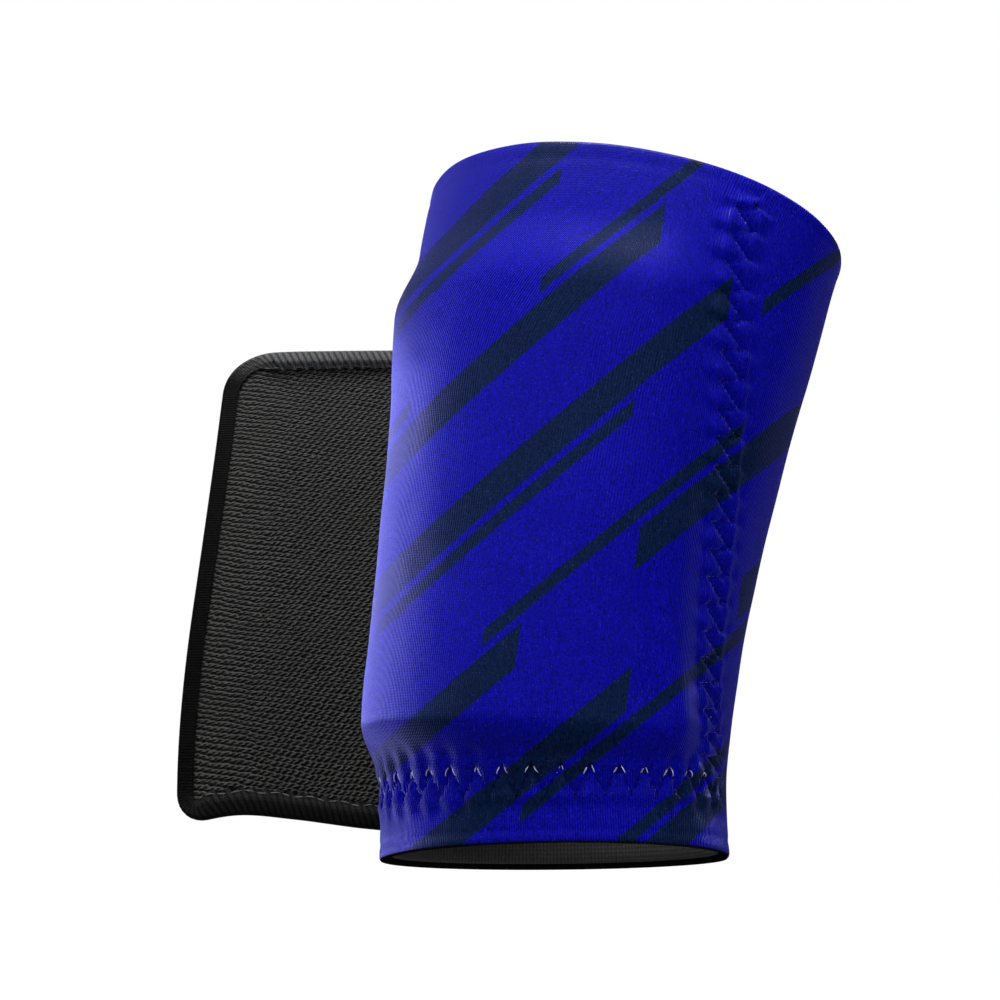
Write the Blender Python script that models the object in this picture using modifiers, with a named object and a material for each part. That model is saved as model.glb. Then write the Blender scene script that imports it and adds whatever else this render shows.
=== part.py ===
"""Pull-on wrist guard: a padded knit sleeve with an elastic wrap strap.

Metres, +Z up the forearm. The origin is the centre of the wrist opening. The pad faces -Y,
and the strap leaves the back of the sleeve and stands free on its -X side.
"""

import math
from collections import namedtuple

import bmesh
import bpy
from mathutils import Vector

MM = 0.001

# Sleeve, measured outside its cloth where no pad lies under it
SLEEVE_LENGTH = 141 * MM
WRIST_WIDTH = 77.5 * MM
FOREARM_WIDTH = 97 * MM
SLEEVE_WALL = 1.6 * MM
LINING_WALL = 1.0 * MM
LEAN = math.radians(21)

# Pocket field that the pad fills, and the seam round it; its middle is turned toward -X
PAD_TURN = math.radians(-15)
FIELD_BOTTOM = 16 * MM
FIELD_TOP = 128 * MM
FIELD_CORNER = 14 * MM
LOW_SLOPE = 11 * MM
HIGH_SLOPE = 15 * MM
WRIST_RISE = 4.4 * MM
FOREARM_RISE = 4.0 * MM
SEAM_OFFSET = 3.5 * MM
SEAM_WIDTH = 7 * MM
SEAM_DEPTH = 0.5 * MM
PAD_INSET = 0.7

# Strap panel, its binding and its fastener
STRAP_REACH = 63.5 * MM
STRAP_HEIGHT = 112 * MM
STRAP_WALL = 1.8 * MM
STRAP_FOOT = 8 * MM
STRAP_LAP = 17 * MM
STRAP_SEAM_ANGLE = math.radians(-124)
TOP_CORNER = 10 * MM
BOTTOM_CORNER = 6 * MM
BINDING_WIDTH = 4.5 * MM
BINDING_WALL = 0.8 * MM
BINDING_START = 10 * MM
PATCH_LENGTH = 24 * MM
PATCH_WALL = 1.2 * MM
PATCH_MARGIN = 5 * MM

# Space that two pieces of cloth keep between their faces
CLEARANCE = 0.3 * MM

# Faces round the tube and along it
FIELD_COLUMNS = 22
BACK_COLUMNS = 20
ROW_PITCH = 6.5 * MM
SLOPE_ROWS = 4
LINING_ROWS = 11
STRAP_COLUMNS = 16
STRAP_ROWS = 9
CORNER_STEPS = 4

# One row for each section of the sleeve: how far along it lies, how much of the growth from the
# wrist's width to the forearm's it has, its depth as a share of its width, and the lean of the
# centreline there, as shares of LEAN toward +X and toward +Y
Section = namedtuple("Section", "along growth depth side back")
SECTIONS = (
    Section(0.00, 0.00, 0.81, -0.10, 0.18),
    Section(0.10, -0.04, 0.81, -0.10, 0.17),
    Section(0.20, 0.00, 0.81, 0.08, 0.26),
    Section(0.35, 0.09, 0.80, 0.22, 0.38),
    Section(0.50, 0.25, 0.80, 0.24, 0.43),
    Section(0.65, 0.46, 0.79, 0.24, 0.48),
    Section(0.80, 0.77, 0.78, 0.19, 0.58),
    Section(0.90, 0.93, 0.78, 0.16, 0.78),
    Section(1.00, 1.02, 0.78, 0.33, 1.00),
)

# How far round the sleeve the pocket's side seams lie, in degrees from the pad's middle
SideSeam = namedtuple("SideSeam", "along angle")
SIDE_SEAMS = (
    SideSeam(0.00, 104),
    SideSeam(0.12, 100),
    SideSeam(0.30, 88),
    SideSeam(0.50, 81),
    SideSeam(0.70, 72),
    SideSeam(0.85, 66),
    SideSeam(0.95, 65),
    SideSeam(1.00, 69),
)

# Plan of the strap: its heading at each share of its free length, in degrees turned outward
# from the line on which it leaves the sleeve
Turn = namedtuple("Turn", "along heading")
TURNS = (
    Turn(0.00, 0),
    Turn(0.25, 14),
    Turn(0.50, 16),
    Turn(0.80, 20),
    Turn(1.00, 44),
)

# Edges of the strap as shares of its height: how far the top has come down and the bottom up
Edge = namedtuple("Edge", "along top bottom")
EDGES = (
    Edge(0.00, 0.000, 0.000),
    Edge(0.35, 0.006, 0.016),
    Edge(0.60, 0.010, 0.034),
    Edge(0.80, 0.014, 0.042),
    Edge(1.00, 0.022, 0.022),
)

# Base colour, roughness and metallic value of each material
Finish = namedtuple("Finish", "colour roughness metallic")
FINISHES = {
    "blue_knit": Finish((0.010, 0.008, 0.30), 0.75, 0.0),
    "black_lining": Finish((0.010, 0.010, 0.011), 0.85, 0.0),
    "foam": Finish((0.06, 0.06, 0.065), 0.8, 0.0),
    "black_elastic": Finish((0.020, 0.021, 0.021), 0.8, 0.0),
    "black_binding": Finish((0.030, 0.031, 0.031), 0.7, 0.0),
    "black_hook": Finish((0.008, 0.008, 0.008), 0.6, 0.0),
}


def smooth(value):
    """Ease from 0 to 1."""
    value = min(max(value, 0.0), 1.0)
    return value * value * (3.0 - 2.0 * value)


def read(table, column, along):
    """A column of a table at a share of its length, on a smooth curve through its rows."""
    places = [row.along for row in table]
    values = [getattr(row, column) for row in table]
    last = len(table) - 1
    along = min(max(along, places[0]), places[-1])
    index = next(i for i in range(last) if along <= places[i + 1])

    def slope(i):
        if i in (0, last):
            j = min(i, last - 1)
            return (values[j + 1] - values[j]) / (places[j + 1] - places[j])
        return (values[i + 1] - values[i - 1]) / (places[i + 1] - places[i - 1])

    span = places[index + 1] - places[index]
    t = (along - places[index]) / span
    rise = values[index + 1] - values[index]
    start = slope(index) * span
    end = slope(index + 1) * span
    return values[index] + t * (start + t * (3 * rise - 2 * start - end + t * (start + end - 2 * rise)))


def direction(along):
    """Way that the centreline runs at a share of the sleeve's length."""
    side = math.sin(LEAN * read(SECTIONS, "side", along))
    back = math.sin(LEAN * read(SECTIONS, "back", along))
    return Vector((side, back, math.sqrt(1.0 - side * side - back * back)))


def centreline(steps=56):
    """Points of the centreline, from the wrist rim up."""
    points = [Vector((0.0, 0.0, 0.0))]
    for i in range(steps):
        points.append(points[-1] + direction((i + 0.5) / steps) * SLEEVE_LENGTH / steps)
    return points


CENTRELINE = centreline()


def centre(along):
    """Point of the centreline at a share of the sleeve's length; it runs on past both rims."""
    steps = len(CENTRELINE) - 1
    index = min(max(int(along * steps), 0), steps - 1)
    return CENTRELINE[index].lerp(CENTRELINE[index + 1], along * steps - index)


def half_width(along):
    growth = read(SECTIONS, "growth", along)
    return (WRIST_WIDTH + (FOREARM_WIDTH - WRIST_WIDTH) * growth) / 2


def side_seam(along):
    """Angle of the pocket's side seam from the pad's middle."""
    return math.radians(read(SIDE_SEAMS, "angle", along))


def angle_at(column, along):
    """Angle round the sleeve of a column: -1 and 1 are the side seams, -2 and 2 the back."""
    seam = side_seam(along)
    if abs(column) <= 1.0:
        return PAD_TURN + column * seam
    return PAD_TURN + math.copysign(seam + (abs(column) - 1.0) * (math.pi - seam), column)


def inside_field(angle, along):
    """Distance inside the pocket field's rounded outline; it is negative outside."""
    from_middle = abs(math.remainder(angle - PAD_TURN, 2 * math.pi))
    half = half_width(along)
    radius = half * (1.0 + read(SECTIONS, "depth", along)) / 2
    height = along * SLEEVE_LENGTH
    from_side = FIELD_CORNER - (side_seam(along) - from_middle) * radius
    from_end = FIELD_CORNER - min(height - FIELD_BOTTOM, FIELD_TOP - height)
    corner = math.hypot(max(from_side, 0.0), max(from_end, 0.0))
    return FIELD_CORNER - corner - min(max(from_side, from_end), 0.0)


def lift(angle, along):
    """How far the pad and the seam round it move the cloth out of the plain section."""
    depth = inside_field(angle, along)
    share = smooth((along * SLEEVE_LENGTH - FIELD_BOTTOM) / (FIELD_TOP - FIELD_BOTTOM))
    slope = LOW_SLOPE + (HIGH_SLOPE - LOW_SLOPE) * share
    rise = WRIST_RISE + (FOREARM_RISE - WRIST_RISE) * share
    groove = 1.0 - smooth(abs(depth + SEAM_OFFSET) / (SEAM_WIDTH / 2))
    if along * SLEEVE_LENGTH > FIELD_TOP:
        groove = 0.0
    return rise * smooth(depth / slope) - SEAM_DEPTH * groove


def on_section(angle, along, raised):
    """Point of the sleeve's outer face, with or without the pad's rise."""
    axis = direction(along)
    across = Vector((axis.z, 0.0, -axis.x)).normalized()
    through = axis.cross(across)
    half = half_width(along)
    out = lift(angle, along) if raised else 0.0
    sideways = (half + out) * math.sin(angle)
    forward = (half * read(SECTIONS, "depth", along) + out) * math.cos(angle)
    return centre(along) + across * sideways - through * forward


def face(angle, along, raised=True, inward=0.0):
    """Point at a depth square below the outer face."""
    point = on_section(angle, along, raised)
    if inward == 0.0:
        return point
    step = 0.004
    low = max(along - step, 0.0)
    high = min(along + step, 1.0)
    round_way = on_section(angle + step, along, raised) - on_section(angle - step, along, raised)
    up_way = on_section(angle, high, raised) - on_section(angle, low, raised)
    return point - round_way.cross(up_way).normalized() * inward


def spread(marks, pitch):
    """Places from the first mark to the last, on every mark and about a pitch apart."""
    places = [marks[0]]
    for start, end in zip(marks, marks[1:]):
        steps = max(1, round((end - start) / pitch))
        places += [start + (end - start) * i / steps for i in range(1, steps + 1)]
    return places


def sleeve_rows():
    """Heights of the sleeve's rings as shares of its length: close together where it slopes."""
    low = [FIELD_BOTTOM + LOW_SLOPE * i / SLOPE_ROWS for i in range(SLOPE_ROWS + 1)]
    high = [FIELD_TOP - HIGH_SLOPE * (1 - i / SLOPE_ROWS) for i in range(SLOPE_ROWS + 1)]
    seam = [FIELD_BOTTOM - SEAM_OFFSET - SEAM_WIDTH / 2, FIELD_BOTTOM - SEAM_OFFSET]
    marks = [0.0] + seam + low + high + [SLEEVE_LENGTH]
    return [height / SLEEVE_LENGTH for height in spread(marks, ROW_PITCH)]


def sleeve_columns():
    """Columns round the sleeve: the field, the seam beside it and the back."""
    beside = 0.10
    field = [-1.0 + 2.0 * i / FIELD_COLUMNS for i in range(FIELD_COLUMNS + 1)]
    back = [1.0 + beside + (2.0 - 2 * beside) * i / BACK_COLUMNS for i in range(BACK_COLUMNS + 1)]
    return field + [1.0 + beside / 2] + back + [3.0 - beside / 2]


def wrapped(column):
    """The same place round the sleeve with its column between -2 and 2."""
    return column - 4.0 if column > 2.0 else column


def tube(name, rings, wall):
    """Cloth tube: a circle extruded ring by ring, each set on its section, with a wall inside."""
    bm = bmesh.new()
    count = len(rings[0])
    circle = bmesh.ops.create_circle(bm, cap_ends=False, radius=rings[0][0].length, segments=count)
    ring = circle["verts"]
    edges = list(bm.edges)
    set_points(ring, rings[0])
    for points in rings[1:]:
        grown = bmesh.ops.extrude_edge_only(bm, edges=edges)["geom"]
        edges = [item for item in grown if isinstance(item, bmesh.types.BMEdge) and item.is_boundary]
        upper = {vert for edge in edges for vert in edge.verts}
        ring = [next(e.other_vert(v) for e in v.link_edges if e.other_vert(v) in upper) for v in ring]
        set_points(ring, points)
    bmesh.ops.recalc_face_normals(bm, faces=bm.faces)
    piece = finished(name, bm)
    solidify = piece.modifiers.new("wall", "SOLIDIFY")
    solidify.thickness = wall
    solidify.offset = -1.0
    return piece


def set_points(verts, points):
    for vert, point in zip(verts, points):
        vert.co = point


def slab(name, columns, rows, near, far):
    """Flat piece: a near and a far grid, each set on its own surface, bridged round their rims."""
    bm = bmesh.new()
    wide = len(columns)
    for surface in (near, far):
        grid = bmesh.ops.create_grid(bm, x_segments=wide - 1, y_segments=len(rows) - 1, size=1.0)
        for i, vert in enumerate(grid["verts"]):
            vert.co = surface(columns[i % wide], rows[i // wide])
    rims = [edge for edge in bm.edges if edge.is_boundary]
    bmesh.ops.bridge_loops(bm, edges=rims)
    bmesh.ops.recalc_face_normals(bm, faces=bm.faces)
    return finished(name, bm)


def swept(name, stations):
    """Closed profile carried through its stations, with both ends closed."""
    bm = bmesh.new()
    rings = [[bm.verts.new(point) for point in station] for station in stations]
    count = len(stations[0])
    for low, high in zip(rings, rings[1:]):
        for i in range(count):
            after = (i + 1) % count
            bm.faces.new((low[i], low[after], high[after], high[i]))
    bm.faces.new(rings[0])
    bm.faces.new(reversed(rings[-1]))
    bmesh.ops.recalc_face_normals(bm, faces=bm.faces)
    return finished(name, bm)


def finished(name, bm):
    """Object made from a mesh under construction, shaded smooth."""
    mesh = bpy.data.meshes.new(name)
    bm.to_mesh(mesh)
    bm.free()
    mesh.shade_smooth()
    mesh.set_sharp_from_angle(angle=math.radians(50))
    piece = bpy.data.objects.new(name, mesh)
    PARTS.objects.link(piece)
    return piece


def paint(piece, name):
    """Give a piece its own material from the table of finishes."""
    finish = FINISHES[name]
    material = bpy.data.materials.new(name)
    material.use_nodes = True
    shader = material.node_tree.nodes["Principled BSDF"]
    shader.inputs["Base Color"].default_value = (*finish.colour, 1.0)
    shader.inputs["Roughness"].default_value = finish.roughness
    shader.inputs["Metallic"].default_value = finish.metallic
    piece.data.materials.append(material)


def sleeve():
    columns = sleeve_columns()
    rings = []
    for along in sleeve_rows():
        rings.append([face(angle_at(wrapped(column), along), along) for column in columns])
    paint(tube("sleeve", rings, SLEEVE_WALL), "blue_knit")


def lining():
    """The lining lies just under the deepest part of the seam."""
    columns = sleeve_columns()
    depth = SLEEVE_WALL + SEAM_DEPTH + CLEARANCE
    rings = []
    for i in range(LINING_ROWS + 1):
        along = i / LINING_ROWS
        angles = [angle_at(wrapped(column), along) for column in columns]
        rings.append([face(angle, along, raised=False, inward=depth) for angle in angles])
    paint(tube("lining", rings, LINING_WALL), "black_lining")


def guard_pad():
    """The pad ends where the cloth has come up by most of its rise, so its edges stay thick."""
    depth = SLEEVE_WALL + CLEARANCE
    low = (FIELD_BOTTOM + PAD_INSET * LOW_SLOPE) / SLEEVE_LENGTH
    high = (FIELD_TOP - PAD_INSET * HIGH_SLOPE) / SLEEVE_LENGTH
    rows = [along for along in sleeve_rows() if low <= along <= high]
    edge = 1.0 - PAD_INSET * HIGH_SLOPE / (half_width(high) * side_seam(high))
    columns = [column for column in sleeve_columns() if abs(column) <= edge]

    def outer(column, along):
        return face(angle_at(column, along), along, inward=depth)

    def inner(column, along):
        return face(angle_at(column, along), along, raised=False, inward=SLEEVE_WALL + SEAM_DEPTH)

    paint(slab("guard_pad", columns, rows, inner, outer), "foam")


def strap_plan(reach):
    """Place of the strap in plan: how far it has come along and out, and its heading."""
    steps = 24
    ahead = 0.0
    out = 0.0
    for i in range(steps):
        heading = math.radians(read(TURNS, "heading", reach / STRAP_REACH * (i + 0.5) / steps))
        ahead += math.cos(heading) * reach / steps
        out += math.sin(heading) * reach / steps
    return ahead, out, math.radians(read(TURNS, "heading", reach / STRAP_REACH))


def strap_axes():
    """Way along and way out of the sleeve at the strap's seam, both level."""
    along = (STRAP_FOOT + STRAP_HEIGHT / 2) / SLEEVE_LENGTH
    step = 0.01
    ahead = face(STRAP_SEAM_ANGLE + step, along) - face(STRAP_SEAM_ANGLE - step, along)
    ahead.z = 0.0
    ahead.normalize()
    return ahead, Vector((ahead.y, -ahead.x, 0.0))


def strap_face(reach, height, off=0.0):
    """Point of the strap, off its middle surface: the lap follows the sleeve, the rest is free."""
    along = (STRAP_FOOT + height) / SLEEVE_LENGTH
    seat = CLEARANCE + STRAP_WALL / 2
    if reach <= 0.0:
        angle = STRAP_SEAM_ANGLE + reach / half_width(along)
        return face(angle, along, inward=-(seat + off))
    ahead, out, heading = strap_plan(reach)
    ahead_way, out_way = strap_axes()
    start = face(STRAP_SEAM_ANGLE, along, inward=-seat)
    square = out_way * math.cos(heading) - ahead_way * math.sin(heading)
    return start + ahead_way * ahead + out_way * out + square * off


def strap_top(reach):
    fall = read(EDGES, "top", reach / STRAP_REACH) * STRAP_HEIGHT
    return STRAP_HEIGHT - fall - rounding(reach, TOP_CORNER)


def strap_bottom(reach):
    rise = read(EDGES, "bottom", reach / STRAP_REACH) * STRAP_HEIGHT
    return rise + rounding(reach, BOTTOM_CORNER)


def rounding(reach, radius):
    """How far a round corner at the strap's end has come in."""
    past = reach - (STRAP_REACH - radius)
    if past <= 0.0:
        return 0.0
    return radius - math.sqrt(max(radius * radius - past * past, 0.0))


def corner_reaches(radius):
    """Places of the corner's steps along the strap."""
    angles = [math.pi / 2 * i / CORNER_STEPS for i in range(CORNER_STEPS + 1)]
    return [STRAP_REACH - radius * (1.0 - math.sin(angle)) for angle in angles]


def strap():
    body = [-STRAP_LAP, -STRAP_LAP / 2, 0.0]
    body += [(STRAP_REACH - TOP_CORNER) * i / STRAP_COLUMNS for i in range(1, STRAP_COLUMNS)]
    columns = body + corner_reaches(TOP_CORNER)
    rows = [i / STRAP_ROWS for i in range(STRAP_ROWS + 1)]

    def place(reach, share, off):
        low = strap_bottom(reach)
        return strap_face(reach, low + (strap_top(reach) - low) * share, off)

    def near(reach, share):
        return place(reach, share, -STRAP_WALL / 2)

    def far(reach, share):
        return place(reach, share, STRAP_WALL / 2)

    paint(slab("strap", columns, rows, near, far), "black_elastic")


def strap_outline():
    """Free outline of the strap as reach and height: along the top, round the end and back."""
    run = [BINDING_START + (STRAP_REACH - TOP_CORNER - BINDING_START) * i / 9 for i in range(9)]
    top = [(reach, strap_top(reach)) for reach in run + corner_reaches(TOP_CORNER)]
    back = [BINDING_START + (STRAP_REACH - BOTTOM_CORNER - BINDING_START) * i / 9 for i in range(9)]
    low = [(reach, strap_bottom(reach)) for reach in back + corner_reaches(BOTTOM_CORNER)]
    high_end = top[-1][1]
    low_end = low[-1][1]
    end = [(STRAP_REACH, high_end + (low_end - high_end) * i / 8) for i in range(1, 8)]
    return top + end + low[::-1]


def strap_binding():
    half = STRAP_WALL / 2 + CLEARANCE
    outer = half + BINDING_WALL
    edge = CLEARANCE
    profile = (
        (-BINDING_WIDTH, outer),
        (0.0, outer),
        (edge + BINDING_WALL * 0.7, outer * 0.6),
        (edge + BINDING_WALL, 0.0),
        (edge + BINDING_WALL * 0.7, -outer * 0.6),
        (0.0, -outer),
        (-BINDING_WIDTH, -outer),
        (-BINDING_WIDTH, -half),
        (edge, -half),
        (edge, half),
        (-BINDING_WIDTH, half),
    )
    outline = strap_outline()
    stations = []
    for i, (reach, height) in enumerate(outline):
        before = Vector(outline[max(i - 1, 0)])
        after = Vector(outline[min(i + 1, len(outline) - 1)])
        way = (after - before).normalized()
        outward = Vector((-way.y, way.x))
        station = []
        for out, off in profile:
            station.append(strap_face(reach + outward.x * out, height + outward.y * out, off))
        stations.append(station)
    paint(swept("strap_binding", stations), "black_binding")


def hook_patch():
    """Fastener on the strap's far face, between the bindings."""
    end = STRAP_REACH - BINDING_WIDTH - PATCH_MARGIN
    columns = [end - PATCH_LENGTH * (1 - i / 5) for i in range(6)]
    rows = [i / 4 for i in range(5)]
    low_off = STRAP_WALL / 2 + CLEARANCE
    margin = BINDING_WIDTH + PATCH_MARGIN

    def place(reach, share, off):
        low = strap_bottom(reach) + margin
        high = strap_top(reach) - margin
        return strap_face(reach, low + (high - low) * share, off)

    def near(reach, share):
        return place(reach, share, low_off)

    def far(reach, share):
        return place(reach, share, low_off + PATCH_WALL)

    paint(slab("hook_patch", columns, rows, near, far), "black_hook")


for old in list(bpy.data.objects):
    bpy.data.objects.remove(old, do_unlink=True)
PARTS = bpy.data.collections.new("wrist_guard")
bpy.context.scene.collection.children.link(PARTS)

sleeve()
lining()
guard_pad()
strap()
strap_binding()
hook_patch()
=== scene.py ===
"""Looks of the wrist guard: printed knit, puckered zigzag seams, elastic strap, studio light."""

import math
from collections import namedtuple

import bmesh
import bpy
import numpy as np
from mathutils import Matrix, Vector, noise


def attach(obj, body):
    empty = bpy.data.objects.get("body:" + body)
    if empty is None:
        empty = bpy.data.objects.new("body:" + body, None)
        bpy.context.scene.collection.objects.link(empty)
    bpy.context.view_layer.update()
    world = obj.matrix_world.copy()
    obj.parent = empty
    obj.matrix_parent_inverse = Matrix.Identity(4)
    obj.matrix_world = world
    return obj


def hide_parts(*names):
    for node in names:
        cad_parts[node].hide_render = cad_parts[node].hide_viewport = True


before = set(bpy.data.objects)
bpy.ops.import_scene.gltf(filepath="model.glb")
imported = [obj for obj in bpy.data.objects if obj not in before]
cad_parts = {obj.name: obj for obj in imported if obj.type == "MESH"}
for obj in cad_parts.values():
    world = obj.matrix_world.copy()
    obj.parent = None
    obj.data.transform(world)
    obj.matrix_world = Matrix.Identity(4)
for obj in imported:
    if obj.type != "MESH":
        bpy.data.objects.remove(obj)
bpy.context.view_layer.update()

MM = 0.001

# Sleeve, strap and clearances, as the solids have them
SLEEVE_LENGTH = 141 * MM
WRIST_WIDTH = 77.5 * MM
FOREARM_WIDTH = 97 * MM
SLEEVE_WALL = 1.6 * MM
LINING_WALL = 1.0 * MM
LEAN = math.radians(21)
PAD_TURN = math.radians(-15)
FIELD_BOTTOM = 16 * MM
FIELD_TOP = 128 * MM
FIELD_CORNER = 14 * MM
LOW_SLOPE = 11 * MM
HIGH_SLOPE = 15 * MM
WRIST_RISE = 4.4 * MM
FOREARM_RISE = 4.0 * MM
SEAM_OFFSET = 3.5 * MM
SEAM_DEPTH = 0.5 * MM
STRAP_REACH = 63.5 * MM
STRAP_HEIGHT = 112 * MM
STRAP_WALL = 1.8 * MM
STRAP_FOOT = 8 * MM
STRAP_LAP = 17 * MM
STRAP_SEAM_ANGLE = math.radians(-124)
TOP_CORNER = 10 * MM
BOTTOM_CORNER = 6 * MM
BINDING_WIDTH = 4.5 * MM
BINDING_WALL = 0.8 * MM
BINDING_START = 10 * MM
PATCH_LENGTH = 24 * MM
PATCH_WALL = 1.2 * MM
PATCH_MARGIN = 5 * MM
CLEARANCE = 0.3 * MM

# How much higher than in the solids the strap's top edge and the lining's lower rim stand
TOP_RAISE = 1.2 * MM
LINING_RAISE = 1.2 * MM

Section = namedtuple("Section", "along growth depth side back")
SECTIONS = (
    Section(0.00, 0.00, 0.81, -0.10, 0.18),
    Section(0.10, -0.04, 0.81, -0.10, 0.17),
    Section(0.20, 0.00, 0.81, 0.08, 0.26),
    Section(0.35, 0.09, 0.80, 0.22, 0.38),
    Section(0.50, 0.25, 0.80, 0.24, 0.43),
    Section(0.65, 0.46, 0.79, 0.24, 0.48),
    Section(0.80, 0.77, 0.78, 0.19, 0.58),
    Section(0.90, 0.93, 0.78, 0.16, 0.78),
    Section(1.00, 1.02, 0.78, 0.33, 1.00),
)
SideSeam = namedtuple("SideSeam", "along angle")
SIDE_SEAMS = (
    SideSeam(0.00, 104),
    SideSeam(0.12, 100),
    SideSeam(0.30, 88),
    SideSeam(0.50, 81),
    SideSeam(0.70, 72),
    SideSeam(0.85, 66),
    SideSeam(0.95, 65),
    SideSeam(1.00, 69),
)
Turn = namedtuple("Turn", "along heading")
TURNS = (
    Turn(0.00, 0),
    Turn(0.25, 14),
    Turn(0.50, 16),
    Turn(0.80, 20),
    Turn(1.00, 44),
)
Edge = namedtuple("Edge", "along top bottom")
EDGES = (
    Edge(0.00, 0.000, 0.000),
    Edge(0.35, 0.006, 0.016),
    Edge(0.60, 0.010, 0.034),
    Edge(0.80, 0.014, 0.042),
    Edge(1.00, 0.022, 0.022),
)

# Faces of the fine cloth: their pitch beside the stitches and elsewhere
SLEEVE_COLUMNS = 350
SLEEVE_ROWS = 216
FINE_PITCH = 0.36 * MM
WIDE_PITCH = 0.90 * MM
FINE_REACH = 7.5 * MM
HEM_STEPS = 5
STRAP_COLUMNS = 120
STRAP_ROWS = 150

# Column where the sleeve's cloth is joined up: under the strap's lap
CLOTH_JOIN = -1.39

# The print lies straight across the front; past its sides it runs on along the cloth
PRINT_FRONT = math.radians(30)
PRINT_SQUEEZE = 0.36

# Zigzag seams round the pocket
ZIGZAG_PITCH = 5.6 * MM
ZIGZAG_HALF = 2.8 * MM
THREAD_RADIUS = 0.11 * MM
ROW_HEIGHT = 14.6 * MM
COLUMN_TOP = 132 * MM

# Stitches of the strap's hem, and the slanted folds between them
HEM_STITCH = 2.6 * MM
HEM_THREAD_RADIUS = 0.12 * MM
GATHER_PITCH = 1.45 * MM
GATHER_SLANT = 0.55

# Share of each side stitch pair that runs inward; the rest is the short way out again
INWARD_SHARE = 0.78

# How far the wrist rim is cut up on its near side and down on its far one
RIM_FACING = math.radians(30)
RIM_UP = 2.4 * MM
RIM_DOWN = 0.6 * MM
RIM_REACH = 13 * MM


def ease(value):
    value = np.clip(value, 0.0, 1.0)
    return value * value * (3.0 - 2.0 * value)


def read(table, column, along):
    """A column of a table at shares of its length, on a smooth curve through its rows."""
    places = np.array([row.along for row in table], float)
    values = np.array([getattr(row, column) for row in table], float)
    slopes = np.empty_like(values)
    slopes[1:-1] = (values[2:] - values[:-2]) / (places[2:] - places[:-2])
    slopes[0] = (values[1] - values[0]) / (places[1] - places[0])
    slopes[-1] = (values[-1] - values[-2]) / (places[-1] - places[-2])
    along = np.clip(along, places[0], places[-1])
    index = np.clip(np.searchsorted(places, along) - 1, 0, len(places) - 2)
    span = places[index + 1] - places[index]
    t = (along - places[index]) / span
    rise = values[index + 1] - values[index]
    start = slopes[index] * span
    end = slopes[index + 1] * span
    curve = 3 * rise - 2 * start - end + t * (start + end - 2 * rise)
    return values[index] + t * (start + t * curve)


def unit(vectors):
    return vectors / np.linalg.norm(vectors, axis=-1, keepdims=True)


def direction(along):
    """Way that the sleeve's centreline runs."""
    side = np.sin(LEAN * read(SECTIONS, "side", along))
    back = np.sin(LEAN * read(SECTIONS, "back", along))
    return np.stack([side, back, np.sqrt(1.0 - side * side - back * back)], -1)


CENTRE_STEPS = 56
CENTRE_PLACES = np.linspace(0.0, 1.0, CENTRE_STEPS + 1)
CENTRE_WAYS = direction((np.arange(CENTRE_STEPS) + 0.5) / CENTRE_STEPS)
CENTRELINE = np.vstack([np.zeros(3), np.cumsum(CENTRE_WAYS, 0) * SLEEVE_LENGTH / CENTRE_STEPS])


def centre(along):
    return np.stack([np.interp(along, CENTRE_PLACES, CENTRELINE[:, k]) for k in range(3)], -1)


def half_width(along):
    return (WRIST_WIDTH + (FOREARM_WIDTH - WRIST_WIDTH) * read(SECTIONS, "growth", along)) / 2


def mean_radius(along):
    return half_width(along) * (1.0 + read(SECTIONS, "depth", along)) / 2


def side_seam(along):
    return np.radians(read(SIDE_SEAMS, "angle", along))


def from_pad(angle):
    """Angle from the pad's middle, between minus and plus half a turn."""
    return (angle - PAD_TURN + math.pi) % (2 * math.pi) - math.pi


def inside_field(angle, along):
    """Distance inside the pocket field's rounded outline; it is negative outside."""
    height = along * SLEEVE_LENGTH
    from_side = FIELD_CORNER - (side_seam(along) - np.abs(from_pad(angle))) * mean_radius(along)
    from_end = FIELD_CORNER - np.minimum(height - FIELD_BOTTOM, FIELD_TOP - height)
    corner = np.hypot(np.maximum(from_side, 0.0), np.maximum(from_end, 0.0))
    return FIELD_CORNER - corner - np.minimum(np.maximum(from_side, from_end), 0.0)


def lift(angle, along):
    """How far the pad and the seam round it move the cloth out of the plain section."""
    depth = inside_field(angle, along)
    share = ease((along * SLEEVE_LENGTH - FIELD_BOTTOM) / (FIELD_TOP - FIELD_BOTTOM))
    slope = LOW_SLOPE + (HIGH_SLOPE - LOW_SLOPE) * share
    rise = WRIST_RISE + (FOREARM_RISE - WRIST_RISE) * share
    return rise * ease(depth / slope)


def on_section(angle, along, raised=True):
    way = direction(along)
    across = unit(np.stack([way[..., 2], 0.0 * way[..., 0], -way[..., 0]], -1))
    through = np.cross(way, across)
    half = half_width(along)
    out = lift(angle, along) if raised else 0.0
    sideways = (half + out) * np.sin(angle)
    forward = (half * read(SECTIONS, "depth", along) + out) * np.cos(angle)
    facing = np.cos(angle - RIM_FACING)
    cut = np.where(facing > 0, RIM_UP, RIM_DOWN) * facing
    cut = cut * np.clip(1.0 - along * SLEEVE_LENGTH / RIM_REACH, 0.0, 1.0) ** 2
    place = centre(along) + across * sideways[..., None] - through * forward[..., None]
    return place + way * cut[..., None]


def square_to(angle, along, raised=True):
    """Way out of the sleeve's outer face."""
    step = 0.004
    low = np.maximum(along - step, 0.0)
    high = np.minimum(along + step, 1.0)
    round_way = on_section(angle + step, along, raised) - on_section(angle - step, along, raised)
    up_way = on_section(angle, high, raised) - on_section(angle, low, raised)
    return unit(np.cross(round_way, up_way))


def ripple(points, size, seed):
    """Soft unevenness of cloth, from -1 to 1 or so, at points of a surface."""
    flat = points.reshape(-1, 3)
    offset = Vector((seed * 7.3, seed * 3.1, seed * 5.7))
    values = [noise.noise(Vector(point) / size + offset) for point in flat]
    return np.array(values).reshape(points.shape[:-1])


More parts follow.
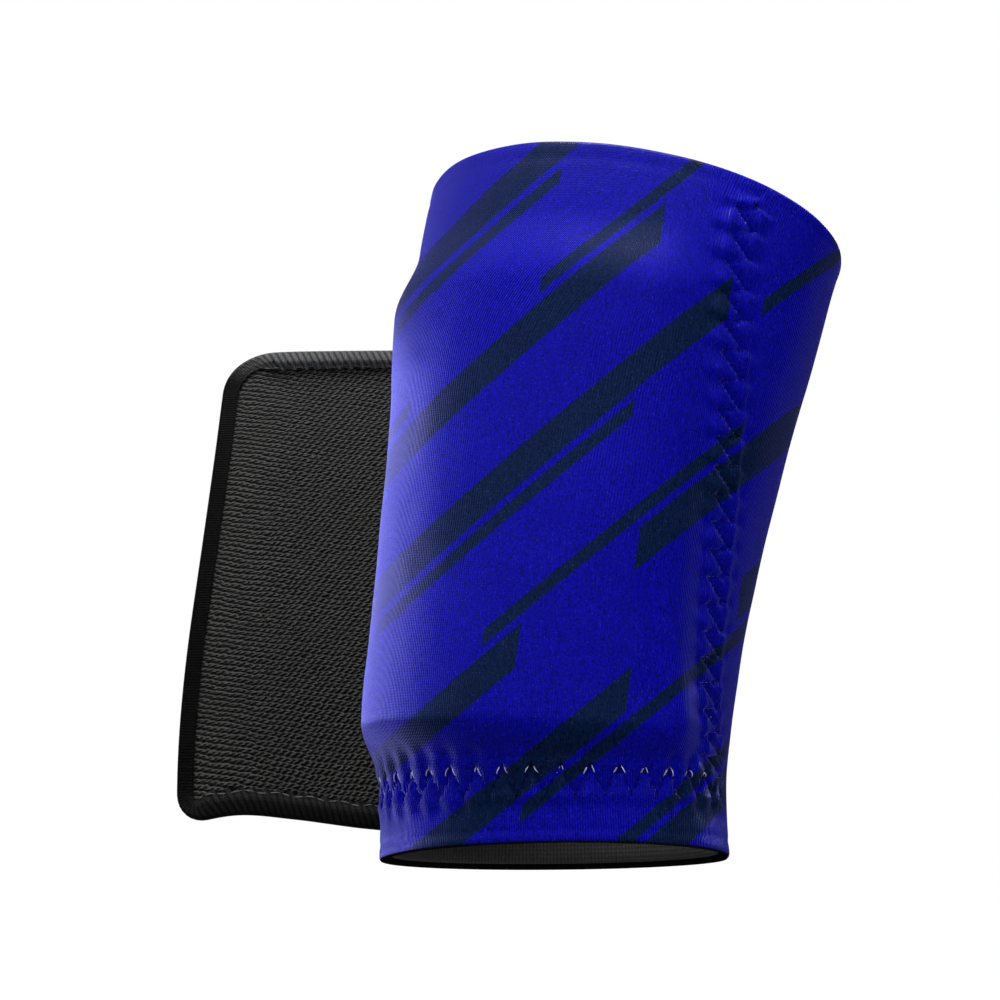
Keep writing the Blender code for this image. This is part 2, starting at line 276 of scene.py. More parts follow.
def clear_selection():
    bpy.ops.object.select_all(action="DESELECT")


def cloth_grid(name, points, **maps):
    """Grid with each point set on its surface, its joins closed and its maps in metres."""
    rows, columns = points.shape[:2]
    clear_selection()
    bpy.ops.mesh.primitive_grid_add(x_subdivisions=columns - 1, y_subdivisions=rows - 1, size=1.0)
    piece = bpy.context.object
    piece.name = name
    piece.data.name = name
    piece.data.vertices.foreach_set("co", points.reshape(-1))
    corners = np.empty(len(piece.data.loops), int)
    piece.data.loops.foreach_get("vertex_index", corners)
    piece.data.uv_layers.remove(piece.data.uv_layers[0])
    for title, places in maps.items():
        layer = piece.data.uv_layers.new(name=title)
        layer.data.foreach_set("uv", places.reshape(-1, 2)[corners].reshape(-1))
    piece.data.update()
    bpy.ops.object.mode_set(mode="EDIT")
    bpy.ops.mesh.select_all(action="SELECT")
    bpy.ops.mesh.remove_doubles(threshold=0.00001)
    bpy.ops.object.mode_set(mode="OBJECT")
    bpy.ops.object.shade_smooth()
    return piece


def zigzag(distance, pitch):
    """Triangle wave from -1 to 1."""
    share = distance / pitch % 1.0
    return 1.0 - 4.0 * np.abs(share - 0.5)


# ---- sleeve ----

ROW_RADIUS = float(mean_radius(np.array(ROW_HEIGHT / SLEEVE_LENGTH)))


def seam_angle(along):
    """Angle of the side columns of stitches from the pad's middle."""
    return side_seam(along) + SEAM_OFFSET / mean_radius(along)


ROW_HALF = float(seam_angle(np.array(ROW_HEIGHT / SLEEVE_LENGTH))) * ROW_RADIUS


def skewed(distance):
    """Distance along a side column, warped so that its zigzag has short outward strokes."""
    share = distance / ZIGZAG_PITCH % 1.0
    early = share / INWARD_SHARE * 0.5
    late = 0.5 + (share - INWARD_SHARE) / (1.0 - INWARD_SHARE) * 0.5
    return distance + (np.where(share < INWARD_SHARE, early, late) - share) * ZIGZAG_PITCH


def seam_place(angle, along):
    """Distance along the nearest zigzag seam and across it, plus inside the field; past a
    seam's end it is all across."""
    turned = from_pad(angle)
    height = along * SLEEVE_LENGTH
    row_run = turned * ROW_RADIUS
    row_side = np.where(height < ROW_HEIGHT, -1.0, 1.0)
    row_far = np.hypot(height - ROW_HEIGHT, np.maximum(np.abs(row_run) - ROW_HALF, 0.0))
    beside = (np.abs(turned) - seam_angle(along)) * mean_radius(along)
    past = np.maximum(ROW_HEIGHT - height, 0.0) + np.maximum(height - COLUMN_TOP, 0.0)
    column_far = np.hypot(beside, past)
    on_column = column_far < row_far
    across = np.where(on_column, np.where(beside < 0, 1.0, -1.0) * column_far, row_side * row_far)
    return np.where(on_column, skewed(height), row_run), across


def seam_relief(angle, along):
    """Pillows between the strokes of the zigzag seams, and the short folds beside them."""
    distance, across = seam_place(angle, along)
    line = zigzag(distance, ZIGZAG_PITCH) * ZIGZAG_HALF
    near = np.abs(across - line) * 0.75
    cut = np.exp(-(near / (0.55 * MM)) ** 2)
    band = np.exp(-(np.maximum(np.abs(across) - ZIGZAG_HALF, 0.0) / (1.5 * MM)) ** 2)
    pillow = np.minimum(near / (1.4 * MM), 1.0) * band
    wave = np.cos(2 * math.pi * distance / ZIGZAG_PITCH) * np.sign(across)
    beside = np.exp(-((np.abs(across) - 1.6 * ZIGZAG_HALF) / (2.0 * MM)) ** 2)
    valley = np.exp(-(across / (4.2 * MM)) ** 2)
    return (0.78 * pillow - 0.46 * cut + 0.32 * wave * beside - 0.42 * valley) * MM


def hem_relief(height):
    """Turned edge: the shallow step where the turning ends."""
    from_rim = np.minimum(height, SLEEVE_LENGTH - height)
    return -0.16 * MM * np.exp(-((from_rim - 3.4 * MM) / (0.7 * MM)) ** 2)


def column_angle(column, along):
    """Angle round the sleeve of a column: -1 and 1 lie along the side seams, 2 at the back."""
    seam = side_seam(along)
    back = math.pi - seam
    front = PAD_TURN + column * seam
    left = PAD_TURN - seam + (column + 1.0) * back
    right = PAD_TURN + seam + (column - 1.0) * back
    return np.where(column < -1.0, left, np.where(column <= 1.0, front, np.where(
        column <= 3.0, right, PAD_TURN + 2 * math.pi + (column - 4.0) * seam)))


def spaced(places, pitches, count):
    """Places picked so that their spacing goes with the wanted pitches."""
    weight = np.concatenate([[0.0], np.cumsum(np.diff(places) / (pitches[1:] + pitches[:-1]))])
    return np.interp(np.linspace(0.0, weight[-1], count), weight, places)


def pitch_near(distance):
    """Pitch of the faces at a distance from the nearest seam."""
    share = ease((np.abs(distance) - FINE_REACH) / (4 * MM))
    return FINE_PITCH + (WIDE_PITCH - FINE_PITCH) * share


def sleeve_columns():
    columns = np.linspace(CLOTH_JOIN, CLOTH_JOIN + 4.0, 4001)
    half = np.full(columns.shape, 0.5)
    travel = column_angle(columns, half) * mean_radius(half)
    angles = column_angle(columns, half)
    beside = (np.abs(from_pad(angles)) - seam_angle(half)) * mean_radius(half)
    return np.interp(spaced(travel, pitch_near(beside), SLEEVE_COLUMNS + 1), travel, columns)


def sleeve_heights():
    edge = SLEEVE_WALL / 2
    heights = np.linspace(edge, SLEEVE_LENGTH - edge, 3001)
    return spaced(heights, pitch_near(heights - ROW_HEIGHT), SLEEVE_ROWS)


def inner_heights():
    """Rows of the cloth's inner face: close together where the pad's edges slope."""
    edge = SLEEVE_WALL / 2 / MM
    low = np.arange(13.0, 31.0, 2.4)
    high = np.arange(111.0, 131.0, 3.2)
    middle = [45.0, 64.0, 84.0, 100.0]
    return np.concatenate([[edge], low, middle, high, [SLEEVE_LENGTH / MM - edge]]) * MM


def tube_profile(outer, inner, wall, steps):
    """Closed profile of a tube's cloth: share of the length, depth below the outer face and the
    shift past the rim, from the wrist rim up the outside and down the inside."""
    half = wall / 2
    turn = np.linspace(0.0, math.pi, steps + 2)[1:-1]
    rows = [(along, 0.0, 0.0) for along in outer]
    rows += [(outer[-1], half * (1 - math.cos(t)), half * math.sin(t)) for t in turn]
    rows += [(along, wall, 0.0) for along in inner]
    rows += [(outer[0], half * (1 + math.cos(t)), -half * math.sin(t)) for t in turn]
    rows.append(rows[0])
    return np.array(rows)


def print_map(points, turns):
    """Flat map of the print: as seen square from the front, and squeezed down the sides."""
    across = np.array((math.cos(PRINT_FRONT), math.sin(PRINT_FRONT), 0.0))
    steps = np.diff(points, axis=1)
    seen = np.abs(steps @ across)
    run = np.maximum(seen, PRINT_SQUEEZE * np.linalg.norm(steps, axis=-1))
    travel = np.concatenate([np.zeros((len(points), 1)), np.cumsum(run, 1)], 1)
    front = np.argmin(np.abs(turns - PRINT_FRONT), 1)[:, None]
    travel += np.take_along_axis(points @ across - travel, front, 1)
    return np.stack([travel, points[..., 2]], -1)


def arc_lengths(turns):
    """Length of cloth round the sleeve's middle up to each angle."""
    angles = np.linspace(-1.5 * math.pi, 2.5 * math.pi, 1600)
    ring = on_section(angles, np.full(angles.shape, 0.5), raised=False)
    travel = np.concatenate([[0.0], np.cumsum(np.linalg.norm(np.diff(ring, axis=0), axis=1))])
    return np.interp(turns, angles, travel)


def unevenness(points):
    return ripple(points, 0.030, 1) * 0.5 * MM + ripple(points, 0.011, 2) * 0.14 * MM


def rib_shift(angle, along):
    """How far the knit's ribs have drifted round: above the field's left half they lean over."""
    past = np.maximum(along * SLEEVE_LENGTH - 95 * MM, 0.0)
    return past * past / (60 * MM) * ease((0.8 - angle) / 0.8)


def make_sleeve():
    inside = inner_heights()[::-1] / SLEEVE_LENGTH
    profile = tube_profile(sleeve_heights() / SLEEVE_LENGTH, inside, SLEEVE_WALL, HEM_STEPS)
    along, column = np.broadcast_arrays(profile[:, :1], sleeve_columns()[None, :])
    angle = column_angle(column, along)
    base = on_section(angle, along)
    out = square_to(angle, along)
    outer = ease(1.0 - profile[:, 1:2] / SLEEVE_WALL)
    relief = seam_relief(angle, along) + hem_relief(along * SLEEVE_LENGTH)
    rise = (relief + unevenness(base)) * outer - profile[:, 1:2]
    points = base + out * rise[..., None] + direction(along) * profile[:, 2:3, None]
    points[:, -1] = points[:, 0]
    travel = np.concatenate([[0.0], np.cumsum(np.abs(np.diff(profile[:, 0])) * SLEEVE_LENGTH
                                              + np.abs(np.diff(profile[:, 2])))])
    across = arc_lengths(angle) - rib_shift(angle, along)
    knit = np.stack([across, np.broadcast_to(travel[:, None], angle.shape)], -1)
    seam = np.stack(seam_place(angle, along), -1)
    seam[..., 1] += (1.0 - outer) * 0.05
    piece = cloth_grid("sleeve_knit", points, knit=knit, print=print_map(base, angle), seam=seam)
    places = np.empty(len(piece.data.loops) * 2)
    piece.data.uv_layers["knit"].data.foreach_get("uv", places)
    first = np.empty(len(piece.data.polygons), int)
    piece.data.polygons.foreach_get("loop_start", first)
    past_rim = places[1::2][first] - SLEEVE_LENGTH
    inner = ((past_rim > 0.0) & (past_rim < SLEEVE_LENGTH - 0.5 * MM)).astype(int)
    back = dark_knit("black_knit_back", (0.007, 0.007, 0.009), 0.8, sheen=0.0)
    for finish in (printed_knit(), back):
        piece.data.materials.append(finish)
    piece.data.polygons.foreach_set("material_index", inner)
    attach(piece, "root")
    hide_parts("sleeve")
    return piece


def make_lining():
    depth = SLEEVE_WALL + SEAM_DEPTH + CLEARANCE
    edge = LINING_WALL / 2 / SLEEVE_LENGTH
    start = edge + LINING_RAISE / SLEEVE_LENGTH
    outside = np.linspace(start, 1.0 - edge, 24)
    inside = np.linspace(1.0 - edge, start, 70)
    profile = tube_profile(outside, inside, LINING_WALL, 4)
    angles = np.linspace(-math.pi, math.pi, 161)
    along, angle = np.broadcast_arrays(profile[:, :1], angles[None, :])
    base = on_section(angle, along, raised=False)
    out = square_to(angle, along, raised=False)
    inner = ease(profile[:, 1:2] / LINING_WALL)
    soft = ripple(base, 0.018, 5) * 0.35 * MM * inner
    rise = soft - depth - profile[:, 1:2]
    points = base + out * rise[..., None] + direction(along) * profile[:, 2:3, None]
    points[:, -1] = points[:, 0]
    knit = np.stack(np.broadcast_arrays(arc_lengths(angles)[None, :], along * SLEEVE_LENGTH), -1)
    piece = cloth_grid("lining_knit", points, knit=knit)
    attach(piece, "root")
    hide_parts("lining")
    return piece


# ---- strap ----

PLAN = np.linspace(0.0, STRAP_REACH, 241)
PLAN_HEADING = np.radians(read(TURNS, "heading", (PLAN[1:] + PLAN[:-1]) / 2 / STRAP_REACH))
PLAN_AHEAD = np.concatenate([[0.0], np.cumsum(np.cos(PLAN_HEADING) * np.diff(PLAN))])
PLAN_OUT = np.concatenate([[0.0], np.cumsum(np.sin(PLAN_HEADING) * np.diff(PLAN))])


def strap_axes():
    """Way along and way out of the sleeve at the strap's seam, both level."""
    along = np.array((STRAP_FOOT + STRAP_HEIGHT / 2) / SLEEVE_LENGTH)
    step = 0.01
    ahead = on_section(STRAP_SEAM_ANGLE + step, along) - on_section(STRAP_SEAM_ANGLE - step, along)
    ahead[2] = 0.0
    ahead = unit(ahead)
    return ahead, np.array((ahead[1], -ahead[0], 0.0))


AHEAD_WAY, OUT_WAY = strap_axes()


def strap_face(reach, height, off=0.0):
    """Point of the strap, off its middle surface: the lap follows the sleeve, the rest is free."""
    reach, height, off = np.broadcast_arrays(reach, height, off)
    along = (STRAP_FOOT + height) / SLEEVE_LENGTH
    seat = CLEARANCE + STRAP_WALL / 2
    angle = STRAP_SEAM_ANGLE + np.minimum(reach, 0.0) / half_width(along)
    lap = on_section(angle, along) + square_to(angle, along) * (seat + off)[..., None]
    past = np.maximum(reach - STRAP_REACH, 0.0)
    heading = np.radians(read(TURNS, "heading", reach / STRAP_REACH))
    ahead = np.interp(reach, PLAN, PLAN_AHEAD) + past * np.cos(heading)
    out = np.interp(reach, PLAN, PLAN_OUT) + past * np.sin(heading)
    root = np.full(along.shape, STRAP_SEAM_ANGLE)
    start = on_section(root, along) + square_to(root, along) * seat
    square = OUT_WAY * np.cos(heading)[..., None] - AHEAD_WAY * np.sin(heading)[..., None]
    free = start + AHEAD_WAY * ahead[..., None] + OUT_WAY * out[..., None] + square * off[..., None]
    return np.where((reach <= 0.0)[..., None], lap, free)


def rounding(reach, radius):
    """How far a round corner at the strap's end has come in."""
    past = np.clip(reach - (STRAP_REACH - radius), 0.0, radius)
    return radius - np.sqrt(radius * radius - past * past)


def strap_top(reach):
    level = STRAP_HEIGHT * (1.0 - read(EDGES, "top", reach / STRAP_REACH)) + TOP_RAISE
    return level - rounding(reach, TOP_CORNER)


def strap_bottom(reach):
    level = STRAP_HEIGHT * read(EDGES, "bottom", reach / STRAP_REACH)
    return level + rounding(reach, BOTTOM_CORNER)


def edge_fall(place, low, high, radius):
    """Share of the full thickness left near two edges that are rounded over."""
    inside = np.clip(np.minimum(place - low, high - place) / radius, 0.0, 1.0)
    return np.sqrt(1.0 - (1.0 - inside) ** 2)


def slab_grid(name, reaches, shares, low, high, near_off, far_off, relief=None):
    """Flat piece as one closed grid: up its near face and down its far one."""
    rows = len(shares)
    share = np.concatenate([shares, shares[::-1][1:]])
    side = np.concatenate([np.zeros(rows), np.ones(rows - 1)])
    reach, share = np.meshgrid(reaches, share)
    side = np.broadcast_to(side[:, None], reach.shape)
    floor = low(reach)
    height = floor + (high(reach) - floor) * share
    middle = (near_off + far_off) / 2
    half = (far_off - near_off) / 2
    fall = edge_fall(reach, reaches[0], reaches[-1], half)
    fall = fall * edge_fall(height, floor, high(reach), half)
    raised = relief(reach, height) if relief else 0.0
    off = middle + (2 * side - 1) * (half + raised) * fall
    points = strap_face(reach, height, off)
    return cloth_grid(name, points, knit=np.stack([reach, height], -1))


def edge_shares(count, edge, length):
    """Shares from 0 to 1 with close steps at both ends, to round them."""
    turn = np.linspace(0.0, math.pi / 2, 4)
    start = edge / length * (1 - np.cos(turn))
    middle = np.linspace(edge / length, 1 - edge / length, count)
    return np.concatenate([start[:-1], middle, (1 - start[::-1])[1:]])


def strap_dimples(reach, height):
    """Scallops beside the top hem's stitches, and a gentle unevenness."""
    from_top = strap_top(reach) - height
    beside = np.exp(-((from_top - 6.6 * MM) / (1.3 * MM)) ** 2) * (reach > 0)
    scallop = np.abs(np.sin(math.pi * reach / HEM_STITCH))
    wave = np.sin(reach * 90) * np.sin(height * 55 + 1.0)
    return (0.22 * (scallop - 0.6) * beside + 0.12 * wave) * MM


def make_strap():
    length = STRAP_REACH + STRAP_LAP
    reaches = -STRAP_LAP + length * edge_shares(STRAP_COLUMNS, STRAP_WALL / 2, length)
    shares = edge_shares(STRAP_ROWS, STRAP_WALL / 2, STRAP_HEIGHT)
    half = STRAP_WALL / 2
    piece = slab_grid(
        "strap_elastic", reaches, shares, strap_bottom, strap_top, -half, half, strap_dimples)
    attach(piece, "root")
    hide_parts("strap")
    return piece


def make_hook_patch():
    end = STRAP_REACH - BINDING_WIDTH - PATCH_MARGIN
    margin = BINDING_WIDTH + PATCH_MARGIN
    reaches = end - PATCH_LENGTH + PATCH_LENGTH * edge_shares(24, 0.5 * MM, PATCH_LENGTH)
    shares = edge_shares(70, 0.5 * MM, STRAP_HEIGHT - 2 * margin)
    low_off = STRAP_WALL / 2 + CLEARANCE

    def low(reach):
        return strap_bottom(reach) + margin

    def high(reach):
        return strap_top(reach) - margin

    high_off = low_off + PATCH_WALL
    piece = slab_grid("hook_patch_pile", reaches, shares, low, high, low_off, high_off)
    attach(piece, "root")
    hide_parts("hook_patch")
    return piece


def strap_outline():
    """Free outline of the strap as reach and height: along the top, round the end and back."""
    pitch = 0.55 * MM
    turn = np.linspace(0.0, math.pi / 2, 18)
    run = np.arange(BINDING_START, STRAP_REACH - TOP_CORNER, pitch)
    top = np.concatenate([run, STRAP_REACH - TOP_CORNER * (1 - np.sin(turn))])
    back = np.arange(BINDING_START, STRAP_REACH - BOTTOM_CORNER, pitch)
    low = np.concatenate([back, STRAP_REACH - BOTTOM_CORNER * (1 - np.sin(turn[::2]))])[::-1]
    steps = int((STRAP_HEIGHT - TOP_CORNER - BOTTOM_CORNER) / pitch)
    high_end = strap_top(np.array(STRAP_REACH))
    low_end = strap_bottom(np.array(STRAP_REACH))
    end = np.linspace(high_end, low_end, steps)[1:-1]
    reach = np.concatenate([top, np.full(end.shape, STRAP_REACH), low])
    height = np.concatenate([strap_top(top), end, strap_bottom(low)])
    return np.stack([reach, height], -1)


def outline_ways(outline):
    """Way out of the outline at each of its points, and the distance run along it."""
    before = np.vstack([outline[:1], outline[:-1]])
    after = np.vstack([outline[1:], outline[-1:]])
    way = unit(after - before)
    travel = np.concatenate([[0.0], np.cumsum(np.linalg.norm(np.diff(outline, axis=0), axis=1))])
    return np.stack([-way[:, 1], way[:, 0]], -1), travel


def make_binding():
    """Folded edge, carried round the outline; the top run is gathered by its stitches."""
    outline = strap_outline()
    outward, travel = outline_ways(outline)
    half = STRAP_WALL / 2 + CLEARANCE
    turn = np.linspace(0.0, math.pi, 9)
    flat = np.linspace(0.0, 1.0, 11)
    near = [(-BINDING_WIDTH * (1 - t), -1.0) for t in flat]
    round_edge = [(BINDING_WALL * 1.35 * math.sin(t), -math.cos(t)) for t in turn[1:-1]]
    far = [(-BINDING_WIDTH * t, 1.0) for t in flat]
    profile = np.array(near + round_edge + far)
    rise = ease(1.15 * (1.0 + np.minimum(profile[:, 0], 0.0) / BINDING_WIDTH) / 0.55)
    inner = np.array([(-BINDING_WIDTH, half), (0.0, half), (0.0, -half), (-BINDING_WIDTH, -half)])
    out = np.concatenate([profile[:, 0], inner[:, 0], profile[:1, 0]])
    seat = half + 0.08 * MM
    tall = seat + (half + BINDING_WALL - seat) * rise
    off = np.concatenate([profile[:, 1] * tall, inner[:, 1], profile[:1, 1] * tall[:1]])
    share = np.clip(-profile[:, 0] / BINDING_WIDTH, 0.0, 1.0)
    crown = np.concatenate([np.sin(math.pi * share), np.zeros(5)])
    side = np.concatenate([profile[:, 1], np.zeros(5)])
    run = STRAP_REACH - TOP_CORNER - BINDING_START
    top_share = ease((run + 6 * MM - travel) / (8 * MM))[:, None]
    low_share = ease((travel - travel[-1] + run + 10 * MM) / (8 * MM))[:, None]
    slant = travel[:, None] - (out[None, :] + BINDING_WIDTH) * GATHER_SLANT
    gather = np.abs(np.sin(math.pi * slant / GATHER_PITCH)) - 0.6
    gather = gather * (0.7 + 0.5 * np.sin(travel * 310)[:, None])
    stitched = np.maximum(top_share, low_share)
    puff = (0.45 + 0.62 * gather) * top_share + (0.30 + 0.28 * gather) * low_share
    puff = (puff - 0.35 * (1.0 - stitched)) * MM
    inner_edge = np.clip(-out / BINDING_WIDTH - 0.55, 0.0, 0.45) / 0.45
    wave = np.sin(2 * math.pi * travel[:, None] / HEM_STITCH) * 0.42 * MM * inner_edge[None, :]
    off = off[None, :] + side[None, :] * crown[None, :] * puff
    slim = np.where(out[None, :] < 0.0, 1.0 - 0.30 * (1.0 - stitched), 1.0)
    out = out[None, :] * slim + wave * stitched * np.abs(side[None, :])
    reach = outline[:, :1] + outward[:, :1] * out
    height = outline[:, 1:] + outward[:, 1:] * out
    points = strap_face(reach, height, off)
    middle = points[:, :-1].mean(1, keepdims=True)
    points = np.concatenate([np.broadcast_to(middle[:1], points[:1].shape), points,
                             np.broadcast_to(middle[-1:], points[-1:].shape)])
    girth = np.concatenate([[0.0], np.cumsum(np.hypot(np.diff(out.mean(0)), np.diff(off.mean(0))))])
    places = np.concatenate([travel[:1], travel, travel[-1:]])
    uv = np.stack(np.broadcast_arrays(places[:, None], girth[None, :]), -1)
    piece = cloth_grid("strap_hem", points[:, ::-1], knit=uv[:, ::-1])
    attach(piece, "root")
    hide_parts("strap_binding")
    return piece


# ---- threads ----


def thread(name, paths, radius, sides=6):
    """Round threads carried along open paths, each with closed ends."""
    bm = bmesh.new()
    for path in paths:
        ahead = unit(np.vstack([path[1:] - path[:-1], path[-1:] - path[-2:-1]]))
        helper = np.array((0.31, 0.52, 0.79))
        across = unit(np.cross(ahead, helper))
        up = np.cross(ahead, across)
        turn = np.linspace(0.0, 2 * math.pi, sides, endpoint=False)
        taper = np.ones(len(path))
        taper[[0, -1]] = 0.45
        ring = np.cos(turn)[:, None] * across[:, None] + np.sin(turn)[:, None] * up[:, None]
        points = path[:, None] + ring * (radius * taper)[:, None, None]
        rings = [[bm.verts.new(point) for point in station] for station in points]
        for low, high in zip(rings, rings[1:]):
            for i in range(sides):
                bm.faces.new((low[i], low[(i + 1) % sides], high[(i + 1) % sides], high[i]))
        bm.faces.new(rings[0][::-1])
        bm.faces.new(rings[-1])
    bmesh.ops.recalc_face_normals(bm, faces=bm.faces)
    mesh = bpy.data.meshes.new(name)
    bm.to_mesh(mesh)
    bm.free()
    mesh.shade_smooth()
    piece = bpy.data.objects.new(name, mesh)
    bpy.context.scene.collection.objects.link(piece)
    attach(piece, "root")
    return piece


def on_cloth(angle, along, off):
    """Point above the puckered cloth."""
    out = square_to(angle, along)
    base = on_section(angle, along)
    rise = seam_relief(angle, along) + unevenness(base) + off
    return base + out * rise[..., None]


def stroke(angles, alongs, off=0.12 * MM, steps=5, bow=0.16 * MM):
    """One stitch: it comes out of the cloth, lies over it and goes back in."""
    t = np.linspace(0.0, 1.0, steps)
    angle = angles[0] + (angles[1] - angles[0]) * t
    along = alongs[0] + (alongs[1] - alongs[0]) * t
    rise = off - 0.45 * MM * (np.abs(2 * t - 1) ** 4) + bow * np.sin(math.pi * t)
    return on_cloth(angle, along, rise)


def make_seam_threads():
    """Zigzag strokes of the bottom row and both side columns."""
    strokes = []
    half = ZIGZAG_PITCH / 2
    count = int(ROW_HALF / half)
    for i in range(-count, count):
        places = np.array([i, i + 1]) * half
        heights = ROW_HEIGHT + zigzag(places, ZIGZAG_PITCH) * ZIGZAG_HALF
        strokes.append(stroke(PAD_TURN + places / ROW_RADIUS, heights / SLEEVE_LENGTH))
    for side in (-1, 1):
        for i in range(math.ceil((ROW_HEIGHT + 2 * MM) / half), int(COLUMN_TOP / half)):
            turn = np.array([i, i + 1])
            heights = (turn // 2 + turn % 2 * INWARD_SHARE) * ZIGZAG_PITCH
            along = heights / SLEEVE_LENGTH
            across = np.where(turn % 2, -1.0, 1.0) * ZIGZAG_HALF / mean_radius(along)
            strokes.append(stroke(PAD_TURN + side * (seam_angle(along) + across), along))
    return thread("zigzag_stitches", strokes, THREAD_RADIUS)


def make_white_stitches():
    """Pairs of short white stitches over the bottom row's peaks; the left one is sunk deeper."""
    strokes = []
    count = int(ROW_HALF / ZIGZAG_PITCH)
    for i in range(-count, count + 1):
        middle = (i + 0.5) * ZIGZAG_PITCH
        if abs(middle) > ROW_HALF - MM:
            continue
        for side, sunk in ((-1, 0.10), (1, 0.0)):
            drift = 0.25 * MM * math.sin(i * 2.3 + side)
            places = middle + side * np.array([0.30, 1.15]) * MM + drift
            ends = np.array([0.25, -1.55 - 0.3 * math.sin(i * 1.7)]) * MM
            heights = ROW_HEIGHT + ZIGZAG_HALF + ends
            off = (0.20 - sunk) * MM
            strokes.append(stroke(PAD_TURN + places / ROW_RADIUS, heights / SLEEVE_LENGTH, off))
    return thread("white_stitches", strokes, THREAD_RADIUS)


def make_hem_stitches():
    """Straight stitches that hold the strap's folded edge, on both faces."""
    outline = strap_outline()
    outward, travel = outline_ways(outline)
    shares = np.linspace(0.08, 0.92, 4)
    bow = 0.16 * MM * np.sin(np.linspace(0, math.pi, 4))
    strokes = []
    run = STRAP_REACH - TOP_CORNER - BINDING_START
    for side in (-1, 1):
        for i in range(int(travel[-1] / HEM_STITCH)):
            places = (i + shares) * HEM_STITCH
            if run + 3 * MM < places[0] < travel[-1] - run - 7 * MM:
                continue
            at = np.stack([np.interp(places, travel, outline[:, k]) for k in range(2)], -1)
            out = np.stack([np.interp(places, travel, outward[:, k]) for k in range(2)], -1)
            at = at - out * (BINDING_WIDTH - 0.55 * MM + 0.25 * MM * np.sin(places * 900)[:, None])
            off = side * (STRAP_WALL / 2 + CLEARANCE + 0.34 * MM + bow)
            strokes.append(strap_face(at[:, 0], at[:, 1], off))
    for i in range(1, int(STRAP_HEIGHT / HEM_STITCH) - 1):
        heights = (i + shares) * HEM_STITCH
        off = STRAP_WALL / 2 + 0.04 * MM + bow
        for reach in (-STRAP_LAP + 2.4 * MM, -STRAP_LAP + 4.4 * MM):
            strokes.append(strap_face(reach, heights, off))
    return thread("hem_stitches", strokes, HEM_THREAD_RADIUS)


# ---- materials ----

ZERO = (0.0, 0.0, 0.0)
WHITE = (1.0, 1.0, 1.0, 1.0)
BLUE = (0.0012, 0.0011, 0.285, 1.0)
NAVY = (0.0018, 0.0095, 0.043, 1.0)
PALE_BLUE = (0.22, 0.22, 0.80, 1.0)
BLUE_SHEEN = (0.31, 0.31, 1.0, 1.0)
ELASTIC_BLACK = (0.0175, 0.0172, 0.0160, 1.0)
FOAM_GREY = (0.06, 0.06, 0.065, 1.0)

# Loops of the printed knit, and cycles per metre of the elastic's two sets of ribs, out and up
KNIT_WALE = 0.54 * MM
KNIT_COURSE = 0.50 * MM
SLANTED_RIBS = (643.0, 437.0)
LEVEL_RIBS = (-109.0, 857.0)


def node(tree, kind, inputs=None, **settings):
    """Node of a kind with its settings, and its inputs set or linked."""
    made = tree.nodes.new(kind)
    for name, value in settings.items():
        setattr(made, name, value)
    for key, value in (inputs or {}).items():
        if isinstance(value, bpy.types.NodeSocket):
            tree.links.new(value, made.inputs[key])
        else:
            made.inputs[key].default_value = value
    return made


def calc(tree, operation, *values):
    return node(tree, "ShaderNodeMath", dict(enumerate(values)), operation=operation).outputs[0]


def scaled(tree, shade, value, gain, base):
    """Shade times a value that is first given a gain and a base."""
    return calc(tree, "MULTIPLY", shade, calc(tree, "MULTIPLY_ADD", value, gain, base))


def strayed(tree, place, unevenness_there, span):
    """Place moved to and fro by an unevenness of about 0.5, over a span in metres."""
    return calc(tree, "MULTIPLY_ADD", calc(tree, "SUBTRACT", unevenness_there, 0.5), span, place)


def graded(tree, value, low, high, first, last, interpolation="LINEAR"):
    """Value carried from one range to another, and held past the ends."""
    inputs = {0: value, 1: low, 2: high, 3: first, 4: last}
    return node(tree, "ShaderNodeMapRange", inputs, interpolation_type=interpolation).outputs[0]


def eased(tree, value, low, high, first=0.0, last=1.0):
    return graded(tree, value, low, high, first, last, "SMOOTHSTEP")


def noise_on(tree, place, scale, detail):
    inputs = {"Vector": place, "Scale": scale, "Detail": detail}
    return node(tree, "ShaderNodeTexNoise", inputs).outputs


def two_drifts(tree, place):
    """Two unevennesses of about 0.5 that wander over a few millimetres."""
    colour = noise_on(tree, place, 420.0, 2.0)["Color"]
    return node(tree, "ShaderNodeSeparateColor", {0: colour}).outputs


def blend_colours(tree, share, first, second):
    mixed = node(tree, "ShaderNodeMix", {0: share, 6: first, 7: second}, data_type="RGBA")
    return mixed.outputs[2]


def start_group(name, inputs, outputs):
    """Node group with named inputs, each with its first value, and named outputs."""
    group = bpy.data.node_groups.new(name, "ShaderNodeTree")
    for title, value in inputs.items():
        kind = "NodeSocketVector" if isinstance(value, tuple) else "NodeSocketFloat"
        socket = group.interface.new_socket(name=title, in_out="INPUT", socket_type=kind)
        socket.default_value = value
    for title in outputs:
        group.interface.new_socket(name=title, in_out="OUTPUT", socket_type="NodeSocketFloat")
    given = group.nodes.new("NodeGroupInput").outputs
    return group, given, group.nodes.new("NodeGroupOutput").inputs


def split_place(tree, place):
    return node(tree, "ShaderNodeSeparateXYZ", {0: place}).outputs


